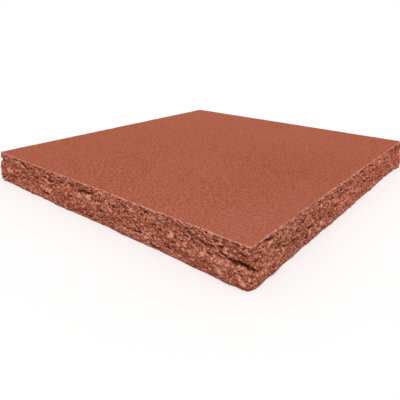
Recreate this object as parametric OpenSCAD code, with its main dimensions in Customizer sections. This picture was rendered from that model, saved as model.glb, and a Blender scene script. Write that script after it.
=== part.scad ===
// Concrete pillar cap: a square slab of coloured concrete with a smooth flat top and four split edges.
// The whole cap is one cast solid. Its edge is a net of points: columns run round the slab and rows run
// down its side. Each point is pushed in or out by the shape of the break, which is made up of a profile,
// long waves, scallops, flakes, lumps, a stepped ledge at the front corner and a few deeper gashes.
// Millimetres. +Z is up, and the origin is the centre of the bed, the flat underside that lies on the
// pillar. Distance along the edge starts at the front corner (+X, -Y) and runs anticlockwise from above.

/* [Slab] */
// Side of the smooth square top, from arris to arris (mm)
top_w = 600; // [450:10:760]
// Thickness from the bed to the top (mm)
slab_t = 60; // [50:1:75]

/* [Arris] */
// Width of the worn bevel round the top (mm)
arris_w = 1.8; // [1:0.2:3]
// How far the arris wanders in and out (mm)
arris_wander = 0.8; // [0:0.1:1.4]

/* [Corners] */
// Corner radius at the top (mm)
top_r = 5; // [3:0.5:10]
// Corner radius at the bed, front corner (mm)
front_bed_r = 11; // [6:1:20]
// Corner radius at the bed, other corners (mm)
bed_r = 3; // [3:1:20]

/* [Split edge] */
// Widest point of the edge outside the top square (mm)
bulge = 7; // [5:0.5:9]
// Depth of the hollow under the arris (mm)
undercut = 0.4; // [0:0.2:3]
// Depth of the long waves along the edge (mm)
wave_d = 1; // [0:0.1:2]
// Length of a scallop along the edge (mm)
scallop_w = 32; // [24:2:48]
// Height of a scallop (mm)
scallop_h = 18; // [12:1:30]
// Depth of a scallop (mm)
scallop_d = 1.4; // [0:0.2:3]
// Length of a flake along the edge (mm)
flake_w = 40; // [28:2:60]
// Height of a flake (mm)
flake_h = 15; // [10:1:30]
// Step between one flake and the next (mm)
flake_d = 1.6; // [0:0.1:2.4]
// Length of a small flake (mm)
chip_w = 17; // [12:1:24]
// Height of a small flake (mm)
chip_h = 9; // [7:1:14]
// Step between one small flake and the next (mm)
chip_d = 1.4; // [0:0.1:2]
// Width of a lump of aggregate (mm)
lump_w = 13; // [11:1:20]
// How far the lumps stand out (mm)
lump_d = 0.9; // [0:0.1:2]
// How far the side corners stand out below the upper layer (mm)
corner_d = 6; // [0:0.5:7]

/* [Front corner ledge] */
// Depth of the crack under the upper layer (mm)
crack_d = 9; // [0:0.5:10]
// Height of the crack (mm)
crack_h = 5; // [4:0.5:10]
// How far the lower layer stands out beyond the upper one (mm)
ledge_d = 4; // [0:0.5:5]

/* [Net] */
// Columns along each side
side_n = 100; // [80:2:100]
// Seed of the break: another whole number gives another edge
seed = 11; // [1:1:99]

/* [Hidden] */
girth = 4 * top_w;
half_w = top_w / 2;
column_n = 4 * side_n;
// Columns stand closer together towards the corners by this share
gather = 0.2;
// Heights of the rows below the arris, as parts of the thickness
row_part = [0.925, 0.845, 0.76, 0.675, 0.59, 0.505, 0.42, 0.335, 0.25, 0.165, 0.08];
row_z = [for (part = row_part) part * slab_t];
row_n = len(row_z) + 5;
// The side of the net runs on past both faces by this much, and the two planes trim it
spare = 2;
bevel_drop = 0.7 * arris_w;
bed_bevel = 1.2;
knee = 0.5 * bulge;
// Points of the net wander along and up the edge by these, and up the ledge less by this share
jog_along = 1.3;
jog_up = 1.1;
still = 0.85;
// Random table: its length is prime, so that cells far apart share no pattern
table_n = 1009;
rough = rands(-1, 1, table_n, seed);
scallop_n = round(girth / scallop_w);
flake_n = round(girth / flake_w);
chip_n = round(girth / chip_w);
lump_n = round(girth / lump_w);
// Flakes lean over along the edge by this share of their height above the bed
lean = 0.5;
// Fine shapes of the break are at their full depth this far below the arris and above the bed
below_arris = 9;
above_bed = 7;
// Share of their depth that is left at the bed, and at the side corners over these distances
at_bed = 0.25;
at_side = 0.3;
side_fade = [3, 24];
// Profile of the edge from bed to top: part of the thickness, and how far out it stands, as a share of
// the bulge where it is above zero, and of twice the undercut where it is below
profile = [
    [0, 0], [0.06, 0.08], [0.16, 0.2], [0.35, 0.28], [0.5, 0.2],
    [0.62, 0.08], [0.72, -0.1], [0.84, -0.35], [0.93, -0.4], [1, 0]
];
// A corner pushed far in keeps at least this radius
core_r = 2;
// Side corners: they stand further out over these distances from the corner, and the left one is upright
// up to this part of the thickness
left_in = [-60, -10];
left_out = [0, 10];
right_out = [5, 40];
left_top = [0.7, 0.78];
// Share by which the side corners stand back again at mid-height
stand_back = 0.72;
// The left corner is broken away at the bed by this much, over these distances from the corner
bed_chip = 7;
bed_chip_fade = [3, 20];
// Ledge: distances from the front corner over which its lower layer and its crack begin and end
layer_in = [-120, -90];
layer_out = [10, 70];
crack_in = [-66, -42];
crack_out = [3, 16];
// The crack deepens over these distances, from this share of its depth
deepen = [-34, -8];
shallow = 0.55;
// Height over which a lip rounds off, and over which the layer below slopes out
lip_h = 1;
slope_h = 6;
// Rows are drawn towards the crack by this share, within about this height
row_pull = 0.6;
pull_h = 6;
// Ledge at the front corner: distance from the corner, and height as a part of the thickness
ledge_line = [
    [-112, 0.66], [-80, 0.64], [-60, 0.56], [-40, 0.54], [-25, 0.565], [-12, 0.555], [-4, 0.565], [0, 0.6],
    [4, 0.54], [8, 0.46], [20, 0.36], [34, 0.3]
];
// Rows follow the line where it leaves this height, a part of the thickness, and less so further from it
ledge_at = 0.557;
follow_h = 14;
// Gashes: sides along from the front corner, height as a part of the thickness, length, width, depth,
// and rise along the length
gashes = [
    [0.31, 0.43, 20, 5, 4, -0.3], [0.257, 0.4, 20, 6, 4.5, -0.2], [0.183, 0.58, 14, 6, 3.5, 0.4],
    [0.063, 0.92, 22, 6, 2, -0.1], [0.62, 0.92, 60, 6, 2, -0.05], [0.908, 0.78, 12, 5, 3, 0],
    [1.24, 0.55, 30, 6, 3.5, -0.2], [1.51, 0.77, 38, 6, 3, -0.1], [1.78, 0.37, 24, 6, 3.5, 0.3],
    [2.2, 0.67, 34, 6, 3.5, -0.2], [2.49, 0.4, 26, 6, 3, 0.2], [2.75, 0.8, 30, 5, 3.5, -0.1],
    [3.003, 0.75, 14, 5, 4, 0], [0.842, 0.04, 12, 8, 4, 0], [3.32, 0.5, 46, 14, 2, 0.2],
    [3.475, 0.78, 44, 4, 3.5, 0.1]
];

// Shards: sides along from the front corner, height as a part of the thickness, length, height, step and
// rise along the length. The face stands out above a shard's lower edge and falls back below it
shards = [
    [3.07, 0.33, 40, 12, 2.4, -0.05], [3.27, 0.28, 34, 10, 2.4, -0.1], [3.23, 0.69, 26, 7, 1.8, 0],
    [3.6, 0.36, 30, 9, 1.6, -0.2], [3.83, 0.24, 26, 8, 1.5, 0.1], [0.12, 0.3, 24, 8, 1.4, 0.2],
    [0.42, 0.62, 34, 10, 1.8, 0.1], [0.7, 0.4, 40, 10, 2, -0.1], [1.12, 0.35, 36, 10, 2, 0.1],
    [1.4, 0.5, 30, 9, 2.2, -0.2], [1.88, 0.62, 34, 10, 2, 0.1], [2.07, 0.4, 30, 9, 2, -0.1],
    [2.35, 0.7, 36, 10, 2, 0.1], [2.62, 0.45, 40, 11, 2.2, -0.1], [2.9, 0.3, 28, 9, 2, 0.1]
];

function wrap(i, n) = (i % n + n) % n;

// A steady random number from -1 to 1 for cell i, j of layer k, where n cells go once round the slab
function chance(i, j, n, k) = rough[(wrap(i, n) * 37 + wrap(j, 64) * 101 + k * 211) % table_n];

function ease(t) = t * t * (3 - 2 * t);

function mix(a, b, t) = a + (b - a) * t;

// 0 below a, 1 above b, and smooth between
function rise(x, a, b) = ease(max(0, min(1, (x - a) / (b - a))));

// Smooth swelling between random values on a grid
function swell(u, v, n, k) =
    let (i = floor(u), j = floor(v), a = ease(u - i), b = ease(v - j))
    mix(
        mix(chance(i, j, n, k), chance(i + 1, j, n, k), a),
        mix(chance(i, j + 1, n, k), chance(i + 1, j + 1, n, k), a),
        b
    );

// Cells round a point: squared distance to each middle, level, and the flat of a flake there
function cells(u, v, n, k) = [
    for (a = [floor(u) - 1 : floor(u) + 1], b = [floor(v) - 1 : floor(v) + 1])
    let (
        x = u - a - 0.5 - 0.4 * chance(a, b, n, k),
        y = v - b - 0.5 - 0.4 * chance(a, b, n, k + 1)
    )
    [x * x + y * y, chance(a, b, n, k + 2) + x * chance(a, b, n, k + 3) + y * chance(a, b, n, k + 4)]
];

// Round hollows that meet in sharp ridges, or turned over, round lumps that meet in creases
function hollow(u, v, n, k) = min([for (c = cells(u, v, n, k)) c[0] + 0.25 * c[1]]);

// Flat tilted flakes with a step where one meets the next
function flake(u, v, n, k) =
    let (near = cells(u, v, n, k), least = min([for (c = near) c[0]]))
    [for (c = near) if (c[0] == least) c[1]][0];

// Distance along the edge from a place, the short way round
function along(s, from) = wrap(s - from + girth / 2, girth) - girth / 2;

function from_corner(s) = abs(wrap(s + half_w, top_w) - half_w);

// Waves of a given length along the edge, at height v of layer k
function wave(s, length, v, k) = let (n = round(girth / length)) swell(s * n / girth, v, n, k);

// A gash is deepest along its middle line and fades at both ends
function gash(s, z, g) =
    let (d = along(s, g[0] * top_w), up = z - g[1] * slab_t - g[5] * d)
    -g[4] * exp(-pow(up / (0.5 * g[3]), 2)) * (1 - rise(abs(d), 0.25 * g[2], 0.6 * g[2]));

// 1 between two fading ends and 0 outside them
function span(d, in, out) = rise(d, in[0], in[1]) * (1 - rise(d, out[0], out[1]));

// How much of the front corner's lower layer there is at distance s along the edge
function layer(s) = span(along(s, 0), layer_in, layer_out);

// Height above the line of the ledge
function above(s, z) = z - slab_t * lookup(along(s, 0), ledge_line);

// A shard fades at both ends
function shard(s, z, g) =
    let (
        d = along(s, g[0] * top_w),
        up = z - g[1] * slab_t - g[5] * d,
        step = up > 0 ? exp(-up / g[3]) : -exp(2 * up / g[3])
    )
    g[4] * step * (1 - rise(abs(d), 0.3 * g[2], 0.6 * g[2]));

// Open crack under the upper layer: deepest just below its lip, and shallower down to the lower layer
function crack(up, deep) = -deep * (1 - rise(up, 0, lip_h)) * rise(up, -crack_h, 0);

// The stepped ledge: a crack under the upper layer, and the lower layer stands out
function ledge(s, z) =
    let (
        up = above(s, z),
        deep = crack_d * mix(shallow, 1, rise(along(s, 0), deepen[0], deepen[1])),
        stand = ledge_d * mix(0.3, 1, rise(z, 0, 2 * above_bed))
    )
    span(along(s, 0), crack_in, crack_out) * crack(up, deep)
    + layer(s) * stand * (1 - rise(up, -slope_h, 0));

// Rows follow the line of the ledge
function followed(s, z) =
    let (off = above(s, ledge_at * slab_t))
    z - layer(s) * off * exp(-pow((z / slab_t - ledge_at) * slab_t / follow_h, 2));

// Rows crowd together at the ledge, so that its lip is sharp
function gathered(s, z) =
    let (up = above(s, z))
    z - row_pull * layer(s) * up * exp(-pow(up / pull_h, 2));

// The side corners stand further out towards the bed: the left one below its notch and on its far side
// only, and the right one up to the arris
function corner_out(s, z) =
    let (
        notched = 1 - rise(z / slab_t, left_top[0], left_top[1]),
        left = span(along(s, 3 * top_w), left_in, left_out) * notched,
        right = 1 - rise(abs(along(s, top_w)), right_out[0], right_out[1])
    )
    corner_d * (left + right) * (1 - stand_back * rise(z, 0, 0.5 * slab_t));

// Peaks near the widest point are rounded off, so that none stands past it
function limit(h) = h < knee ? h : knee + (bulge - knee) * (1 - exp(-(h - knee) / (bulge - knee)));

// Share of the depth of the fine shapes near the side corners
function beside(s) =
    abs(along(s, 0)) < half_w ? 1 : mix(at_side, 1, rise(from_corner(s), side_fade[0], side_fade[1]));

// How far the break stands outside the top square at distance s along the edge and height z
function break_out(s, z) =
    let (
        shape = lookup(z / slab_t, profile),
        free = beside(s) * rise(slab_t - z, 0.5, below_arris) * mix(at_bed, 1, rise(z, 0, above_bed)),
        near = s + lean * z,
        far = s + 2 * lean * z,
        steps = [for (g = shards) shard(s, z, g)]
    )
    shape * (shape < 0 ? 2 * undercut : bulge)
    + wave_d * free * wave(s, 90, z / 45, 3)
    + free * (
        2 * scallop_d * (hollow(near * scallop_n / girth, z / scallop_h, scallop_n, 20) - 0.25)
        + flake_d * flake(near * flake_n / girth, z / flake_h, flake_n, 30)
        + chip_d * flake(far * chip_n / girth, z / chip_h, chip_n, 50)
        - 2 * lump_d * (hollow(s * lump_n / girth, z / lump_w, lump_n, 40) - 0.3)
    )
    + rise(slab_t - z, 1, 4) * ledge(s, z)
    + corner_out(s, z)
    + max(steps) + min(steps)
    + min([for (g = gashes) gash(s, z, g)]);

// The arris wanders a little and has small chips
function arris_out(s) =
    arris_wander * (0.6 * wave(s, 36, 0, 5) + 0.4 * wave(s, 11, 0, 6) - 0.6)
    - 1.6 * arris_wander * pow(max(0, wave(s, 24, 7, 8)), 3);

// A point of the slab's outline at distance s, pushed out by h, on a square whose corners have radius r
function outline(s, h, r) =
    let (
        t = wrap(s, girth),
        side = floor(t / top_w),
        d = t - side * top_w - half_w,
        bend = max(r, core_r - h),
        over = max(0, abs(d) - (half_w - bend)) * sign(d),
        turn = atan2(over, bend),
        x = half_w - bend + (bend + h) * cos(turn),
        y = over == 0 ? d : (half_w - bend) * sign(d) + (bend + h) * sin(turn),
        a = 90 * side
    )
    [x * cos(a) - y * sin(a), x * sin(a) + y * cos(a)];

// Distance along the edge of a column
function column_s(i) =
    let (side = floor(i / side_n), t = i / side_n - side)
    top_w * (side + t - gather * sin(360 * t) / (2 * PI));

// Radius of the nearest corner at height z
function radius(s, z) =
    let (low = abs(along(s, 0)) < half_w ? front_bed_r : bed_r)
    mix(low, top_r, rise(z, 0.1 * slab_t, 0.85 * slab_t));

function arris_ring(inset, z) = [
    for (i = [0 : column_n - 1])
    let (s = column_s(i), p = outline(s, arris_out(s) - inset, top_r))
    [p[0], p[1], z]
];

// How far the edge is cut back at the bed
function bed_inset(s) =
    bed_bevel + bed_chip * (1 - rise(abs(along(s, 3 * top_w)), bed_chip_fade[0], bed_chip_fade[1]));

function bed_ring(z) = [
    for (i = [0 : column_n - 1])
    let (s = column_s(i), p = outline(s, limit(break_out(s, 0)) - bed_inset(s), radius(s, 0)))
    [p[0], p[1], z]
];

function rough_ring(j) = [
    for (i = [0 : column_n - 1])
    let (
        at = column_s(i),
        s = at + jog_along * rise(from_corner(at), 0, 30) * chance(i, j, column_n, 60),
        jog = jog_up * (1 - still * layer(s)) * chance(i, j, column_n, 61),
        z = gathered(s, followed(s, row_z[j])) + jog,
        p = outline(s, limit(break_out(s, z)), radius(s, z))
    )
    [p[0], p[1], z]
];

module cap_slab() {
    rings = [
        arris_ring(arris_w, slab_t + spare),
        arris_ring(arris_w, slab_t),
        arris_ring(0, slab_t - bevel_drop),
        for (j = [0 : len(row_z) - 1]) rough_ring(j),
        bed_ring(0),
        bed_ring(-spare)
    ];
    points = concat([for (r = rings, p = r) p], [[0, 0, slab_t + spare], [0, 0, -spare]]);
    top_point = row_n * column_n;
    faces = [
        for (j = [0 : row_n - 2], i = [0 : column_n - 1])
        let (
            k = (i + 1) % column_n,
            a = j * column_n + i,
            b = j * column_n + k,
            c = a + column_n,
            d = b + column_n
        )
        each (i + j) % 2 == 0 ? [[a, b, c], [b, d, c]] : [[a, b, d], [a, d, c]],
        for (i = [0 : column_n - 1]) [top_point, (i + 1) % column_n, i],
        for (i = [0 : column_n - 1])
        let (a = (row_n - 1) * column_n) [top_point + 1, a + i, a + (i + 1) % column_n]
    ];
    color("#a85a44")
    intersection() {
        polyhedron(points, faces);
        translate([-top_w, -top_w, 0])
        cube([2 * top_w, 2 * top_w, slab_t]);
    }
}

cap_slab();
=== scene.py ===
"""A square concrete pillar cap with a smooth cast top and rough split edges, as a Blender add-on.

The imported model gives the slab's shape. This file adds what is finer: the grain of the break, the chips,
the pits and the stones in it, the worn arris, and the finish of the cast faces. All sizes are in metres.
"""

import math
import time

import bmesh
import bpy
from bpy.props import FloatProperty, FloatVectorProperty, IntProperty, PointerProperty
from bpy.types import Operator, Panel, PropertyGroup
from mathutils import Matrix, Vector, noise


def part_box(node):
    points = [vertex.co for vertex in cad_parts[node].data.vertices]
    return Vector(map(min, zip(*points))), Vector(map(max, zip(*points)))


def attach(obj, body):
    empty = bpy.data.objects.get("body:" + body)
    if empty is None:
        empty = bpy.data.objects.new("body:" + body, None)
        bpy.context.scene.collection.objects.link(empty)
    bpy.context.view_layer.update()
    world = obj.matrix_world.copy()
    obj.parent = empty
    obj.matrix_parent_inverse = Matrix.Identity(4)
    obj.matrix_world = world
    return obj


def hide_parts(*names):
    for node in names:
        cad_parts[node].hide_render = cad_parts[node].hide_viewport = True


bl_info = {
    "name": "Concrete Pillar Cap",
    "version": (1, 0, 0),
    "blender": (4, 5, 0),
    "location": "View3D > Sidebar > Pillar Cap",
    "description": "Builds the split edge, the cast faces and the stage of a concrete pillar cap",
    "category": "Object",
}

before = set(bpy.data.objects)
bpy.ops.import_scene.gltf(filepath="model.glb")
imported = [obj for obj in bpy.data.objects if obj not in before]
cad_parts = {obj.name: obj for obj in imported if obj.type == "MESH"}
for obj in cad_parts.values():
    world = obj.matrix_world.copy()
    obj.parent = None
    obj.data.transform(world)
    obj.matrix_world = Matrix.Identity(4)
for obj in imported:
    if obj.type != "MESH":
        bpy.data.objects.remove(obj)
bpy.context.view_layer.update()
NODE = "cap_slab"
LOW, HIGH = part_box(NODE)
MM = 0.001
# Points closer than this are one point, a point this near a flat lies on it, and an open edge this
# near a flat is part of its rim
MERGE = 0.00001
ON_FLAT = 0.00002
ON_RIM = 0.0001
# Bands of the edge, as distances below the top: where the relief begins, where the arris is worn and has a
# pale line that is partly a painted highlight, and where it is chipped; and the height above the bed over
# which the relief begins
RELIEF_BAND = (0.0002, 0.0028)
WORN_BAND = (0.0006, 0.0020)
CHIP_BAND = (0.0016, 0.0045)
BED_BAND = (0.0, 0.006)
# The placed spots lie within this depth of the two faces that meet at the front corner, in mm
FACE_DEPTH = 25
# A crease is a slit of this share of the depth
CREASE_SHARE = 0.45
WHITE = (1.0, 1.0, 1.0)
FLOOR_SIZE = 12.0
FLOOR_GAP = 0.0004
# Width of the camera's sensor, in mm, and the nearest and farthest it sees, in m
SENSOR_WIDTH = 36.0
CLIP = (0.01, 50.0)
# The front and back corners: the break is calmer at the front one, and the top has a painted pale sheen at
# both
FRONT = Vector((0.3, -0.3, 0.03))
BACK = Vector((-0.3, 0.3, 0.03))
# Where the crack turns the front corner and its walls crowd together, how far that reaches, and how
# many times the net is smoothed there
FOLD = Vector((0.297, -0.297, 0.036))
FOLD_SIZE = 0.018
FOLD_ROUNDS = 6
# Elsewhere the net is smoothed above this height over the bed, below this depth under the top, and
# farther than this from a corner
EASE_BED, EASE_TOP, EASE_CORNER = 0.004, 0.0005, 0.02
# A patch of the top that is a little darker
DULL = Vector((0.24, -0.1, 0.06))
# Pale stones in the two faces at the front corner: face, distance along it, height and half width, in mm
PALE_STONES = (
    ("front", 291, 10, 5.0), ("front", 287, 16, 2.5), ("front", 299, 17, 2.0), ("front", 258, 15, 4.5),
    ("front", 255, 49, 3.0), ("front", 262, 44, 3.0), ("front", 271, 39, 3.5), ("front", 239, 58, 4.5),
    ("front", 230, 29, 3.5), ("front", 187, 25, 4.0), ("front", 175, 36, 4.5), ("front", 147, 44, 3.0),
    ("front", 142, 48, 3.0), ("front", 122, 26, 3.0), ("front", 122, 13, 3.0), ("front", 127, 8, 3.0),
    ("front", -7, 40, 5.0), ("front", -65, 43, 3.0), ("front", -97, 37, 4.0), ("front", -129, 46, 3.0),
    ("front", -122, 21, 4.0), ("front", -129, 23, 4.5), ("front", -137, 25, 4.5), ("front", -145, 27, 4.0),
    ("front", -165, 43, 3.5), ("front", -227, 52, 4.0),
    ("front", -232, 46, 4.5), ("front", -250, 29, 4.5), ("front", -259, 30, 4.5), ("front", -268, 31, 4.5),
    ("right", -290, 20, 2.2),
    ("right", -260, 47, 3.0), ("right", -264, 59, 3.0), ("right", -229, 26, 3.0), ("right", -201, 48, 4.5),
    ("right", -150, 18, 4.0), ("right", -115, 46, 4.0), ("right", -115, 18, 4.0), ("right", -68, 40, 4.5),
    ("right", -42, 58, 4.0), ("right", 134, 11, 4.5), ("right", 145, 49, 5.5), ("right", 244, 16, 4.0),
)
# Torn slits in the same faces: face, distance along it, height and half length, in mm, and slope
SLITS = (
    ("front", 200, 52, 7.0, 0.0), ("front", 196, 40, 5.0, 0.1), ("front", 209, 38, 6.0, -0.4),
    ("front", 217, 46, 5.0, -0.3), ("front", 226, 41, 8.0, -0.4), ("front", 242, 41, 4.0, 0.0),
    ("front", 238, 32, 5.0, -0.3), ("front", 256, 46, 4.5, 0.0), ("front", 256, 45, 4.5, 0.0),
    ("front", 259, 36, 8.0, -0.2), ("front", 266, 33, 7.0, -0.4), ("front", 276, 31, 6.0, 0.0),
    ("front", 285, 31, 7.0, -0.1), ("front", 292, 31, 8.0, 0.0), ("front", 296, 30, 7.0, -0.1),
    ("front", 299, 29, 7.0, -0.2), ("front", 299, 38, 4.5, -0.3), ("front", 232, 19, 4.5, 0.2),
    ("front", 180, 17, 4.5, -0.3), ("front", 168, 12, 6.0, 0.0), ("front", 140, 3, 9.0, 0.0),
    ("front", 140, 38, 5.0, 0.0), ("front", 151, 35, 5.0, -0.2), ("front", 113, 46, 4.0, 0.0),
    ("front", 78, 48, 4.0, 0.0), ("front", 105, 17, 12.0, 0.15), ("front", 24, 26, 9.0, 0.1),
    ("front", -20, 45, 27.0, 0.15), ("front", -10, 6, 9.0, 0.0), ("front", -42, 29, 6.0, -0.2),
    ("front", -61, 29, 8.0, 0.0), ("front", -58, 47, 8.0, -0.5), ("front", -89, 54, 7.0, 0.0),
    ("front", -108, 36, 8.0, 0.0), ("front", -123, 40, 10.0, -0.2), ("front", -137, 44, 9.0, 0.0),
    ("front", -134, 16, 19.0, 0.1), ("front", -163, 37, 14.0, 0.0), ("front", -201, 50, 17.0, -0.3),
    ("front", -207, 26, 17.0, 0.0), ("front", -257, 20, 21.0, 0.05), ("front", -289, 45, 10.0, 0.0),
    ("front", -284, 39, 4.0, 0.3), ("right", -296, 30, 5.0, -0.6), ("right", -292, 27, 6.0, -0.7),
    ("right", -284, 36, 6.0, -0.1),
    ("right", -256, 51, 6.0, 0.0), ("right", -245, 39, 4.0, 0.3), ("right", -209, 18, 4.0, 0.3),
    ("right", -194, 36, 12.0, -0.1), ("right", -193, 35, 9.0, -0.1), ("right", -183, 43, 5.0, 0.0),
    ("right", -170, 42, 5.0, 0.0), ("right", -161, 14, 6.0, 0.05), ("right", -150, 25, 13.0, -0.2),
    ("right", -108, 24, 8.0, 0.05), ("right", -79, 46, 7.0, 0.0), ("right", -86, 25, 5.0, 0.0),
    ("right", -65, 30, 6.0, 0.0), ("right", -41, 52, 8.0, 0.0), ("right", -36, 47, 7.0, 0.0),
    ("right", 14, 24, 7.0, 0.0), ("right", 57, 54, 15.0, 0.05), ("right", 103, 53, 13.0, -0.3),
    ("right", 82, 33, 22.0, 0.0), ("right", 190, 45, 15.0, 0.0), ("right", 237, 34, 16.0, 0.0),
    ("right", 268, 40, 14.0, 0.0),
)
# Creases, which are faint slits, with the same five values each
CREASES = (
    ("front", 258, 57, 11.0, 0.0), ("front", 276, 57, 9.0, 0.0), ("front", 284, 54, 9.0, -0.1),
    ("front", 296, 53, 9.0, -0.2), ("front", 275, 28, 5.5, 0.0), ("front", 286, 45, 9.0, -0.1),
    ("front", 286, 22, 7.0, -0.6), ("front", 205, 44, 12.0, -0.5), ("front", 213, 52, 12.0, -0.5),
    ("front", 232, 51, 12.0, -0.5), ("front", 247, 50, 9.0, -0.6), ("front", 222, 35, 9.0, -0.4),
    ("front", 248, 33, 8.0, -0.3), ("front", 126, 11, 8.0, -0.5), ("front", 84, 15, 5.0, 0.0),
    ("front", 30, 50, 10.0, -0.4), ("front", -80, 22, 10.0, -0.4), ("front", -180, 20, 12.0, -0.3),
    ("front", -270, 50, 10.0, -0.3), ("front", -255, 36, 10.0, -0.5), ("right", -292, 53, 9.0, 0.1),
    ("right", -281, 21, 7.0, -0.35), ("right", -255, 50, 8.0, 0.1), ("front", -262, 56, 26.0, 0.0),
    ("front", -222, 55, 26.0, 0.0), ("front", -172, 56, 18.0, 0.0),
)


def colour(name, description, default):
    """A colour that the user can change."""
    return FloatVectorProperty(name=name, description=description, default=default, subtype="COLOR",
                               size=3, min=0.0, max=1.0)


def length(name, description, default, low=0.0, high=0.05):
    """A length that the user can change, in metres."""
    return FloatProperty(name=name, description=description, default=default, min=low, max=high,
                         precision=5, unit="LENGTH", subtype="DISTANCE")


class CapRelief(PropertyGroup):
    """Sizes of the fine relief on the split edge."""

    cuts: IntProperty(name="Cuts", description="Cuts along each edge of the CAD net", default=3, min=0, max=3)
    softening: IntProperty(name="Softening", description="Smoothing rounds before the relief is added",
                           default=1, min=0, max=10)
    shard_size: length("Shard size", "Length of a shard of the break", 0.010, 0.003)
    shard_depth: length("Shard depth", "Step between one shard and the next", 0.0004)
    chip_size: length("Chip size", "Length of the small chips on the shards", 0.005, 0.002)
    chip_depth: length("Chip depth", "Step between one chip and the next", 0.0005)
    stone_size: length("Stone size", "Width of the stones in the concrete", 0.0065, 0.003)
    stone_depth: length("Stone depth", "How far the stones stand out and their empty sockets go in", 0.0004)
    grit_depth: length("Grit depth", "Depth of the grit between the stones", 0.0005)
    slit_size: length("Slit size", "Spacing of the torn slits along the edge", 0.016, 0.003)
    slit_depth: length("Slit depth", "Depth of the scattered slits", 0.0014)
    torn_depth: length("Torn slit depth", "Depth of the placed slits", 0.0022)
    arris_chip: length("Arris chip", "Depth of the chips along the arris", 0.0010)


class CapColours(PropertyGroup):
    """Colours of the concrete, some of which also carry painted light and shade."""

    cast: colour("Cast face", "The pale side of the sand in the smooth top", (0.520, 0.165, 0.100))
    cast_dark: colour("Cast face, dark", "The dark side of the sand in the smooth top", (0.300, 0.060, 0.024))
    # Pale clouds on the smooth top, and towards the front and back corners a painted sheen
    bloom_and_sheen: colour("Bloom", "Pale clouds on the smooth top", (0.470, 0.155, 0.110))
    # The broken edge is blended between the next two by a level that holds its grain and also painted light
    # and shade
    split: colour("Split face", "The pale side of the grain in the broken edge", (0.65, 0.272, 0.20))
    shade: colour("Split face, dark", "The dark side of the grain in the broken edge", (0.32, 0.074, 0.031))
    warm: colour("Warm side", "The redder cement away from the front corner", (0.62, 0.135, 0.075))
    # Dark specks and streaks, and the painted shade at the bottom of pits, air holes and cracks
    dark_marks_and_shade: colour("Hollows", "The bottom of pits and cracks", (0.11, 0.024, 0.010))
    stone: colour("Stones", "The palest stones", (0.80, 0.36, 0.265))
    # The pale line along the worn arris is partly a painted highlight
    arris: colour("Arris", "The worn line round the top", (0.66, 0.30, 0.21))


class CapStage(PropertyGroup):
    """Floor, light and camera."""

    floor: colour("Floor", "The floor", (0.8, 0.8, 0.8))
    sky: FloatProperty(name="Sky", description="Strength of the even light from all round", default=0.36,
                       min=0.0, max=2.0)
    sun: FloatProperty(name="Sun", description="Strength of the broad soft light", default=2.35, min=0.0,
                       max=10.0)
    sun_angle: FloatProperty(name="Sun width", description="Apparent width of the soft light",
                             default=math.radians(20), min=0.0, max=math.pi, subtype="ANGLE")
    sun_at: FloatVectorProperty(name="Sun direction", description="Direction that the soft light comes from",
                                default=(0.41, -0.47, 1.05), subtype="DIRECTION", size=3)
    camera_at: FloatVectorProperty(name="Camera", description="Place of the camera",
                                   default=(0.5111, -0.6240, 0.2847), subtype="TRANSLATION", size=3)
    azimuth: FloatProperty(name="Azimuth", description="Direction of the camera round the cap",
                           default=math.radians(36.98), subtype="ANGLE")
    elevation: FloatProperty(name="Elevation", description="How far the camera looks down",
                             default=math.radians(20.44), subtype="ANGLE")
    roll: FloatProperty(name="Roll", description="Turn of the camera about its own axis",
                        default=math.radians(0.64), subtype="ANGLE")
    lens: FloatProperty(name="Lens", description="Focal length in millimetres", default=35.63, min=10.0)
    shift: FloatVectorProperty(name="Shift", description="Shift of the frame to the side and up",
                               default=(-0.07225, -0.05), size=2)


# Shader values


class Value:
    """A socket that can be added, multiplied and so on: each sign adds a Math node."""

    def __init__(self, tree, socket):
        self.tree, self.socket = tree, socket

    def sign(self, operation, first, second):
        """One Math node."""
        return self.tree.node("ShaderNodeMath", {"operation": operation}, {0: first, 1: second}).out()

    def __add__(self, other):
        return self.sign("ADD", self, other)

    def __radd__(self, other):
        return self.sign("ADD", other, self)

    def __sub__(self, other):
        return self.sign("SUBTRACT", self, other)

    def __mul__(self, other):
        return self.sign("MULTIPLY", self, other)

    def most(self, other):
        """The larger of the two."""
        return self.sign("MAXIMUM", self, other)

    def size(self):
        """The value without its sign."""
        return self.sign("ABSOLUTE", self, 0.0)

    def ramp(self, low, high, start=0.0, end=1.0):
        """start below low, end above high, and smooth between."""
        return self.tree.node("ShaderNodeMapRange", {"interpolation_type": "SMOOTHSTEP", "clamp": True},
                              {"Value": self, "From Min": low, "From Max": high, "To Min": start,
                               "To Max": end}).out()


class Node:
    """One node of a shader tree."""

    def __init__(self, tree, made):
        self.tree, self.made = tree, made

    def out(self, name=0):
        """An output, by its name or by its number among those in use."""
        if isinstance(name, int):
            return Value(self.tree, [s for s in self.made.outputs if s.enabled][name])
        return Value(self.tree, next(s for s in self.made.outputs if name in (s.identifier, s.name)))


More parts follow.
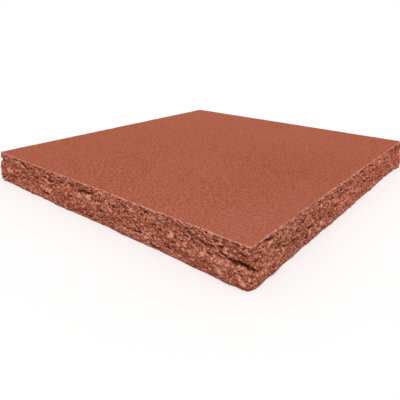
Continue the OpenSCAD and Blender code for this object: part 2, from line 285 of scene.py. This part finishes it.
class ShaderTree:
    """The nodes of one material or world."""

    def __init__(self, owner):
        owner.use_nodes = True
        self.nodes, self.links = owner.node_tree.nodes, owner.node_tree.links
        self.nodes.clear()

    def node(self, kind, settings=None, sockets=None):
        """A node of that kind: its settings are made first, and then its sockets get numbers or links."""
        made = self.nodes.new(kind)
        for name, setting in (settings or {}).items():
            setattr(made, name, setting)
        for name, given in (sockets or {}).items():
            socket = made.inputs[name] if isinstance(name, int) else next(
                s for s in made.inputs if name in (s.identifier, s.name) and s.enabled)
            if isinstance(given, Value):
                self.links.new(given.socket, socket)
            else:
                socket.default_value = given
        return Node(self, made)

    def vector(self, operation, first, second):
        """One Vector Math node."""
        return self.node("ShaderNodeVectorMath", {"operation": operation}, {0: first, 1: second})

    def attribute(self, name):
        """A number that the mesh holds for each point."""
        return self.node("ShaderNodeAttribute", {"attribute_name": name}).out("Fac")

    def seen(self):
        """1 for what the camera sees, straight or in a gloss or through glass, and 0 for lighting."""
        path = self.node("ShaderNodeLightPath")
        direct, gloss = path.out("Is Camera Ray"), path.out("Is Glossy Ray")
        return direct.most(gloss).most(path.out("Is Transmission Ray"))

    def blend(self, first, second, share):
        """Two colours mixed by share."""
        return self.node("ShaderNodeMix", {"data_type": "RGBA", "clamp_factor": True},
                         {"Factor_Float": share, "A_Color": opaque(first), "B_Color": opaque(second)}
                         ).out("Result_Color")

    def grain(self, place, scale, detail=2.0, roughness=0.5):
        """Cloudy noise from 0 to 1 with a given number of lumps a metre."""
        return self.node("ShaderNodeTexNoise", {}, {"Vector": place, "Scale": scale, "Detail": detail,
                                                    "Roughness": roughness}).out("Fac")

    def distance(self, place, point):
        """Distance from a point, in metres."""
        return self.vector("DISTANCE", place, tuple(point)).out("Value")

    def cells(self, place, scale):
        """Cells like packed stones: distance to the middle, a random colour, and its red and its green."""
        made = self.node("ShaderNodeTexVoronoi", {"feature": "F1"},
                         {"Vector": place, "Scale": scale, "Randomness": 1.0})
        split = self.node("ShaderNodeSeparateColor", {"mode": "RGB"}, {"Color": made.out("Color")})
        return made.out("Distance"), made.out("Color"), split.out("Red"), split.out("Green")

    def chips(self, place, scale, slope, normal):
        """A normal tilted at random over each cell, like flat chips, and two random numbers for each."""
        _, chance, first, second = self.cells(place, scale)
        lean = self.vector("SUBTRACT", chance, (0.5, 0.5, 0.5)).out()
        lean = self.node("ShaderNodeVectorMath", {"operation": "SCALE"}, {0: lean, "Scale": slope}).out()
        tilted = self.vector("ADD", lean, normal).out()
        level = self.node("ShaderNodeVectorMath", {"operation": "NORMALIZE"}, {0: tilted}).out()
        return level, first, second

    def bump(self, height, distance, strength, under=None):
        """A normal for fine relief of that height, on top of another normal where one is given."""
        sockets = {"Height": height, "Distance": distance, "Strength": strength}
        if under is not None:
            sockets["Normal"] = under
        return self.node("ShaderNodeBump", {}, sockets).out()

    def finish(self, settings):
        """The surface: one Principled shader with these sockets."""
        surface = self.node("ShaderNodeBsdfPrincipled", {}, settings).out()
        self.node("ShaderNodeOutputMaterial", {}, {"Surface": surface})


def opaque(given):
    """A colour as a socket takes it."""
    return given if isinstance(given, Value) else (*given, 1.0)


def new_material(name):
    """A material, and its tree."""
    made = bpy.data.materials.new(name)
    return made, ShaderTree(made)


def cast_concrete(colours):
    """The smooth top: fine sand in red cement, with soft pale clouds where the mix was wetter, and a painted
    pale sheen towards the front and back corners.
    """
    material, tree = new_material("cast_concrete")
    place = tree.node("ShaderNodeTexCoord").out("Object")
    clouds = tree.grain(place, 4.5, 3.0, 0.6)
    patches = tree.grain(place, 45.0, 2.0, 0.5)
    sand = tree.grain(place, 320.0, 3.0, 0.8)
    grit, _, chance, _ = tree.cells(place, 500.0)
    dull = tree.distance(place, DULL).ramp(0.22, 0.05)
    level = 0.48 + (sand - 0.5) * 6.4 - dull * 0.16
    base = tree.blend(colours.cast_dark, colours.cast, level.ramp(-0.5, 1.5))
    # Painted pale sheen towards the front and back corners
    painted_sheen = tree.distance(place, FRONT).ramp(0.30, 0.03) * 0.6 + tree.distance(place, BACK).ramp(0.24, 0.02)
    base = tree.blend(base, colours.bloom_and_sheen, (clouds - 0.52) + painted_sheen * 0.30)
    base = tree.blend(base, colours.dark_marks_and_shade, chance.ramp(0.004, 0.002) * grit.ramp(0.4, 0.2) * 0.6)
    tree.finish({"Base Color": base, "Roughness": 0.80 + sand * 0.12, "IOR": 1.45, "Specular IOR Level": 0.05,
                 "Normal": tree.bump(sand + patches * 0.5, 0.00018, 0.6)})
    return material


def split_concrete(colours):
    """The broken edge: cement, sand, stones and empty sockets, with painted shade in its slits and hollows,
    painted light on its crests and up-facing chips, painted light and shade by place, and a pale line along
    the worn arris that is partly a painted highlight.
    """
    material, tree = new_material("split_concrete")
    place = tree.node("ShaderNodeTexCoord").out("Object")
    hollow, arris, pale = tree.attribute("hollow"), tree.attribute("arris"), tree.attribute("pale")
    # Where a place is on the slab
    away = tree.distance(place, FRONT)
    at_ledge = away.ramp(0.20, 0.06)
    spot = tree.node("ShaderNodeSeparateXYZ", {}, {"Vector": place})
    along, depth, height = spot.out("X"), spot.out("Y"), spot.out("Z")
    back = depth.ramp(-0.15, 0.1)
    edge = (height - 0.030).size().ramp(0.004, 0.022)
    right = along.ramp(0.26, 0.295)
    # Sand, specks and the thin layers near the ledge
    sand = tree.grain(place, 380.0, 2.0, 0.8)
    specks = tree.grain(place, 260.0, 1.0, 0.6)
    laid = tree.node("ShaderNodeCombineXYZ", {}, {"X": along, "Y": depth, "Z": height * 3.5 + along * 1.6})
    layers = tree.grain(laid.out(), 150.0, 2.0, 0.6)
    # Chips of two sizes, each with its own tilt and two random numbers
    face = tree.node("ShaderNodeNewGeometry").out("Normal")
    flat = tree.vector("MULTIPLY", place, (1.0, 1.0, 1.7)).out()
    chips, chance, tone = tree.chips(flat, 190.0, 0.8, face)
    crumbs, lot, crumb_tone = tree.chips(flat, 400.0, 0.8, chips)
    up = tree.node("ShaderNodeSeparateXYZ", {}, {"Vector": crumbs}).out("Z")
    # How pale the grain is, with painted light on the chips that face up
    grain = (sand - 0.5) * 3.1 + (tone - 0.5) * 0.15 + (crumb_tone - 0.5) * 0.25 + (up - 0.3) * 0.4
    speckle = (specks - 0.5) * (away.ramp(0.05, 0.3) * 3.2 + right * 1.6)
    # Painted light and shade by place: paler near the top and the bed and towards the back, darker on the
    # right face and towards the left end
    painted_side_light = edge * 0.13 + back * 0.04 - right * 0.03 + along.ramp(-0.1, 0.05, -0.07, 0.01)
    # Less pale in slits and hollows and paler on crests: painted shade and painted light
    level = 0.25 + grain + speckle + painted_side_light + (layers - 0.5) * (at_ledge * 1.3) - hollow * 0.12
    base = tree.blend(colours.shade, colours.split, level.ramp(0.0, 1.0))
    base = tree.blend(base, colours.stone, chance.ramp(0.94, 0.97) * 0.5)
    base = tree.blend(base, colours.stone, lot.ramp(0.91, 0.95) * 0.6)
    base = tree.blend(base, colours.dark_marks_and_shade, lot.ramp(0.10, 0.06) * 0.5)
    base = tree.blend(base, colours.warm, away.ramp(0.1, 0.45) * 0.10 + back * 0.16)
    # Painted shade at the bottom of the slits, creases and hollows
    base = tree.blend(base, colours.dark_marks_and_shade, hollow.ramp(0.3, 1.0) * 0.9)
    base = tree.blend(base, colours.dark_marks_and_shade, layers.ramp(0.38, 0.30) * at_ledge * 0.4)
    base = tree.blend(base, colours.stone, pale.ramp(0.1, 0.7) * (0.35 + sand * 0.7))
    # A pale line along the worn arris, broken up, partly a painted highlight
    wear_and_highlight = tree.grain(place, 70.0, 2.0, 0.6).ramp(0.40, 0.58, 0.5, 1.0) * away.ramp(0.03, 0.25, 0.5, 1.0)
    base = tree.blend(base, colours.arris, arris * wear_and_highlight * sand.ramp(0.40, 0.6, 0.3, 1.0))
    tree.finish({"Base Color": base, "Roughness": 0.80 + sand * 0.14, "IOR": 1.45, "Specular IOR Level": 0.04,
                 "Normal": tree.bump(sand, 0.0006, 0.8, crumbs)})
    return material


def cast_bed(colours):
    """The underside, as it came off the casting bed: flat, with small air holes."""
    material, tree = new_material("cast_bed")
    place = tree.node("ShaderNodeTexCoord").out("Object")
    clouds = tree.grain(place, 9.0, 3.0, 0.6)
    sand = tree.grain(place, 380.0, 2.0, 0.6)
    hole, _, chance, _ = tree.cells(place, 120.0)
    pit = chance.ramp(0.80, 0.90) * hole.ramp(0.22, 0.12)
    base = tree.blend(colours.cast_dark, colours.cast, 0.1 + clouds * 0.5 + sand * 0.3)
    # Painted shade in the air holes
    base = tree.blend(base, colours.dark_marks_and_shade, pit * 0.8)
    tree.finish({"Base Color": base, "Roughness": 0.7 + sand * 0.15, "IOR": 1.45,
                 "Specular IOR Level": 0.3, "Normal": tree.bump(sand * 0.3 - pit, 0.0008, 0.7)})
    return material


# The slab


def soft_step(x, low, high):
    """0 below low, 1 above high, and smooth between."""
    t = min(1.0, max(0.0, (x - low) / (high - low)))
    return t * t * (3.0 - 2.0 * t)


def facets(place, size, stretch=2.0):
    """Tilted flat shards, longer than high, with a step from one to the next: about -1 to 1."""
    spot = Vector((place.x, place.y, place.z * stretch)) / size
    middle = noise.voronoi(spot)[1][0]
    lot = noise.cell(middle * 57.3) - 0.5
    lean = noise.cell_vector(middle * 91.7) - Vector((0.5, 0.5, 0.5))
    return 1.3 * lot + 1.6 * (spot - middle).dot(lean)


def stone_relief(place, size):
    """Stones that stand out as domes, and the sockets of lost ones: -1 to 1."""
    gaps, middles = noise.voronoi(place / size)
    lot = noise.cell(middles[0] * 31.7)
    dome = max(0.0, 1.0 - 2.6 * gaps[0] * gaps[0]) * soft_step(gaps[1] - gaps[0], 0.0, 0.2)
    if lot > 0.70:
        return dome
    return -1.3 * dome if lot < 0.30 else 0.0


def slit_relief(place, size):
    """Narrow torn slits, three times as long as high, in scattered groups: 0 to -1."""
    line = noise.noise(Vector((place.x, place.y, place.z * 3.0 + 0.25 * (place.x - place.y))) / size)
    group = noise.noise(place / (size * 1.6) + Vector((3.1, 7.7, 1.9)))
    return -(1.0 - soft_step(abs(line), 0.0, 0.13)) * soft_step(group, -0.05, 0.15)


def along_side(place):
    """Distance along the front face and on round the corner along the right one, and height, in mm.

    None away from those two faces.
    """
    x, y = place.x / MM, place.y / MM
    half = round(FRONT.x / MM)
    if max(x, -y) < half - FACE_DEPTH:
        return None
    return (min(x, half) if -y > x else max(y + 2 * half, half)), place.z / MM


def spread(spots):
    """The same spots with one distance along both faces."""
    side = 2 * FRONT.x / MM
    return [(along if face == "front" else along + side, *rest) for face, along, *rest in spots]


def outward(place):
    """Level direction away from the middle: square to each side, and turning smoothly at the corners."""
    return Vector((place.x ** 7, place.y ** 7, 0.0)).normalized()


def calmness(place):
    """How coarse the break is at a place: it changes slowly, and it is finer near the front corner."""
    patchy = soft_step(noise.noise(place / 0.04), -0.3, 0.3)
    slow = 0.65 + 0.75 * patchy + 0.3 * soft_step(place.y, -0.15, 0.1)
    slow *= 1.0 + 0.25 * soft_step(place.x + place.y, -0.02, 0.02) + 0.45 * soft_step(-place.x, 0.1, 0.24)
    away = soft_step((place - FRONT).length, 0.03, 0.12)
    return slow * (0.55 + 0.45 * away)


def pale_stone(place, stones):
    """1 in the middle of a pale stone, and 0 outside them all."""
    spot = along_side(place)
    if spot is None:
        return 0.0
    share = 0.0
    ragged = 1.3 + 0.5 * noise.noise(place / 0.003)
    for along, height, half in stones:
        if abs(spot[0] - along) < 2.0 * half:
            share = max(share, ragged - math.hypot(spot[0] - along, spot[1] - height) / half)
    return min(1.0, share)


def torn_slit(place, slits):
    """1 on the middle line of a slit (more where two meet), and 0 away from them all."""
    spot = along_side(place)
    if spot is None:
        return 0.0
    share = 0.0
    wander = 0.8 * noise.noise(place / 0.005)
    for along, height, half, rise in slits:
        ahead = spot[0] - along
        if abs(ahead) < half:
            thickness = min(1.9, 0.8 + 0.1 * half)
            off = (spot[1] - height - rise * ahead - wander) / thickness
            share += math.exp(-off * off) * (1.0 - soft_step(abs(ahead), 0.5 * half, half))
    return share


def break_relief(place, relief):
    """How far the split edge stands out at a place, in metres."""
    # Not seeded: noise_vector starts from the clock, so this shift differs from one run to the next
    spot = place + noise.noise_vector(place / 0.008) * 0.001
    grit = noise.fractal(place / 0.0028, 0.8, 2.1, 2, noise_basis="PERLIN_ORIGINAL")
    coarse = (relief.shard_depth * facets(spot, relief.shard_size)
              + relief.chip_depth * facets(spot * 1.01, relief.chip_size)
              + relief.stone_depth * stone_relief(spot, relief.stone_size)
              + relief.slit_depth * slit_relief(spot, relief.slit_size))
    return calmness(place) * coarse + relief.grit_depth * grit


def on_flat(face, level):
    """Whether a face is part of the flat at that height."""
    return abs(face.calc_center_median().z - level) < ON_FLAT and abs(face.normal.z) > 0.999


def refine_edge(bm, relief):
    """Takes off the two flats, cuts the net of the split edge finer, and smooths it."""
    flat = [f for f in bm.faces if on_flat(f, LOW.z) or on_flat(f, HIGH.z)]
    bmesh.ops.delete(bm, geom=flat, context="FACES")
    if relief.cuts:
        bmesh.ops.subdivide_edges(bm, edges=bm.edges[:], cuts=relief.cuts, use_grid_fill=True)
    bmesh.ops.triangulate(bm, faces=bm.faces[:])
    free = [v for v in bm.verts if LOW.z + EASE_BED < v.co.z < HIGH.z - EASE_TOP
            and max(HIGH.x - abs(v.co.x), HIGH.y - abs(v.co.y)) > EASE_CORNER]
    fold = [v for v in bm.verts if (v.co - FOLD).length < FOLD_SIZE]
    for group, rounds in ((free, relief.softening), (fold, FOLD_ROUNDS)):
        for _ in range(rounds):
            bmesh.ops.smooth_vert(bm, verts=group, factor=0.5, use_axis_x=True, use_axis_y=True,
                                  use_axis_z=True)
    bm.normal_update()


def roughen_edge(bm, relief):
    """Moves each point of the split edge in or out by the fine relief, and chips the arris."""
    arris, pale, hollow = [bm.verts.layers.float.new(name) for name in ("arris", "pale", "hollow")]
    stones, slits, creases = spread(PALE_STONES), spread(SLITS), spread(CREASES)
    moves = []
    for v in bm.verts:
        down = HIGH.z - v.co.z
        free = soft_step(down, *RELIEF_BAND) * soft_step(v.co.z - LOW.z, *BED_BAND)
        chip = soft_step(noise.noise(v.co / 0.006) + 0.6 * noise.noise(v.co / 0.0023), 0.05, 0.8)
        chip *= 1.0 - soft_step(down, *CHIP_BAND)
        v[arris] = 1.0 - soft_step(down, *WORN_BAND)
        v[pale] = pale_stone(v.co, stones)
        v[hollow] = torn_slit(v.co, slits) + CREASE_SHARE * torn_slit(v.co, creases)
        out = break_relief(v.co, relief) * (1.0 - 0.7 * v[pale]) + 0.0008 * v[pale]
        cut = relief.torn_depth * v[hollow] * free + relief.arris_chip * chip
        moves.append(v.normal * out * free - outward(v.co) * cut)
    for v, move in zip(bm.verts, moves):
        top, bed = v.co.z > HIGH.z - ON_FLAT, v.co.z < LOW.z + ON_FLAT
        v.co += move
        v.co.z = HIGH.z if top else LOW.z if bed else min(HIGH.z, max(LOW.z, v.co.z))


def eased(v, places):
    """The mean of a point's place, counted twice, and the places of the points joined to it."""
    joined = [places[e.other_vert(v)] for e in v.link_edges]
    return sum(joined, places[v] * 2.0) / (len(joined) + 2)


def mark_hollows(bm):
    """Adds, for each point, how far it lies below (or stands above) the points round it; the split face
    paints this as shade in hollows and light on crests.
    """
    hollow = bm.verts.layers.float["hollow"]
    for f in bm.faces:
        f.smooth = False
    bm.normal_update()
    places = {v: v.co.copy() for v in bm.verts}
    for _ in range(3):
        places = {v: eased(v, places) for v in bm.verts}
    for v in bm.verts:
        v[hollow] += (places[v] - v.co).dot(v.normal) / MM


def close_flats(bm):
    """Closes the top and the bed with one flat face each."""
    rim = [e for e in bm.edges if e.is_boundary]
    for level, material in ((HIGH.z, 1), (LOW.z, 2)):
        loop = [e for e in rim if all(abs(v.co.z - level) < ON_RIM for v in e.verts)]
        made = bmesh.ops.contextual_create(bm, geom=loop)["faces"]
        if len(made) != 1:
            raise RuntimeError(f"the flat face at {level:.3f} m did not close")
        made[0].material_index = material
    bmesh.ops.recalc_face_normals(bm, faces=bm.faces[:])


class CAP_OT_slab(Operator):
    """Build the slab with its fine relief and its three finishes, in place of the CAD node"""

    bl_idname = "pillar_cap.slab"
    bl_label = "Build slab"

    def execute(self, context):
        relief, colours = context.scene.cap_relief, context.scene.cap_colours
        bm = bmesh.new()
        bm.from_mesh(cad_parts[NODE].data)
        bmesh.ops.remove_doubles(bm, verts=bm.verts[:], dist=MERGE)
        refine_edge(bm, relief)
        roughen_edge(bm, relief)
        mark_hollows(bm)
        close_flats(bm)
        mesh = bpy.data.meshes.new("slab")
        bm.to_mesh(mesh)
        bm.free()
        for material in (split_concrete(colours), cast_concrete(colours), cast_bed(colours)):
            mesh.materials.append(material)
        slab = bpy.data.objects.new("slab", mesh)
        context.scene.collection.objects.link(slab)
        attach(slab, "root")
        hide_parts(NODE)
        return {"FINISHED"}


class CAP_OT_stage(Operator):
    """Build the floor, the lights and the camera"""

    bl_idname = "pillar_cap.stage"
    bl_label = "Build stage"

    def execute(self, context):
        stage = context.scene.cap_stage
        build_floor(context, stage)
        build_lights(context, stage)
        build_camera(context, stage)
        return {"FINISHED"}


def build_floor(context, stage):
    """A plain floor just under the bed: white to the camera, and the stage's floor colour to the light."""
    bm = bmesh.new()
    bmesh.ops.create_grid(bm, x_segments=1, y_segments=1, size=FLOOR_SIZE)
    bmesh.ops.translate(bm, verts=bm.verts[:], vec=(0.0, 0.0, LOW.z - FLOOR_GAP))
    mesh = bpy.data.meshes.new("floor")
    bm.to_mesh(mesh)
    bm.free()
    material, tree = new_material("floor_paper")
    tree.finish({"Base Color": tree.blend(stage.floor, WHITE, tree.seen()), "Roughness": 0.95,
                 "Specular IOR Level": 0.0})
    mesh.materials.append(material)
    floor = bpy.data.objects.new("floor", mesh)
    context.scene.collection.objects.link(floor)


def build_lights(context, stage):
    """Even light from all round, shown as white, and one broad soft lamp."""
    world = bpy.data.worlds.new("studio")
    context.scene.world = world
    tree = ShaderTree(world)
    lit = tree.node("ShaderNodeBackground", {}, {"Color": opaque(WHITE), "Strength": stage.sky}).out()
    shown = tree.node("ShaderNodeBackground", {}, {"Color": opaque(WHITE), "Strength": 1.0}).out()
    both = tree.node("ShaderNodeMixShader", {}, {0: tree.seen(), 1: lit, 2: shown}).out()
    tree.node("ShaderNodeOutputWorld", {}, {"Surface": both})
    lamp = bpy.data.lights.new("soft_sun", "SUN")
    lamp.energy, lamp.angle = stage.sun, stage.sun_angle
    sun = bpy.data.objects.new("soft_sun", lamp)
    context.scene.collection.objects.link(sun)
    sun.rotation_euler = (-Vector(stage.sun_at)).to_track_quat("-Z", "Y").to_euler()


def build_camera(context, stage):
    """The camera, turned by its azimuth, elevation and roll."""
    data = bpy.data.cameras.new("camera")
    data.sensor_width, data.lens = SENSOR_WIDTH, stage.lens
    data.shift_x, data.shift_y = stage.shift
    data.clip_start, data.clip_end = CLIP
    camera = bpy.data.objects.new("camera", data)
    context.scene.collection.objects.link(camera)
    turn = (Matrix.Rotation(stage.azimuth, 4, "Z") @ Matrix.Rotation(math.pi / 2 - stage.elevation, 4, "X")
            @ Matrix.Rotation(stage.roll, 4, "Z"))
    camera.matrix_world = Matrix.Translation(stage.camera_at) @ turn
    context.scene.camera = camera


class CAP_PT_sidebar(Panel):
    """The settings and the two build steps"""

    bl_idname = "CAP_PT_sidebar"
    bl_label = "Concrete Pillar Cap"
    bl_space_type = "VIEW_3D"
    bl_region_type = "UI"
    bl_category = "Pillar Cap"

    def draw(self, context):
        for title, group in (("Relief", context.scene.cap_relief), ("Colours", context.scene.cap_colours),
                             ("Stage", context.scene.cap_stage)):
            box = self.layout.box()
            box.label(text=title)
            for name in group.__annotations__:
                box.prop(group, name)
        self.layout.operator(CAP_OT_slab.bl_idname)
        self.layout.operator(CAP_OT_stage.bl_idname)


GROUPS = {"cap_relief": CapRelief, "cap_colours": CapColours, "cap_stage": CapStage}
CLASSES = (CapRelief, CapColours, CapStage, CAP_OT_slab, CAP_OT_stage, CAP_PT_sidebar)


def register():
    for made in CLASSES:
        bpy.utils.register_class(made)
    for name, group in GROUPS.items():
        setattr(bpy.types.Scene, name, PointerProperty(type=group))


def unregister():
    for name in GROUPS:
        delattr(bpy.types.Scene, name)
    for made in reversed(CLASSES):
        bpy.utils.unregister_class(made)


def main():
    start = time.time()
    register()
    bpy.context.scene.view_settings.view_transform = "Standard"
    bpy.ops.pillar_cap.slab()
    bpy.ops.pillar_cap.stage()
    print(f"built in {time.time() - start:.1f} s")


if __name__ == "__main__":
    main()
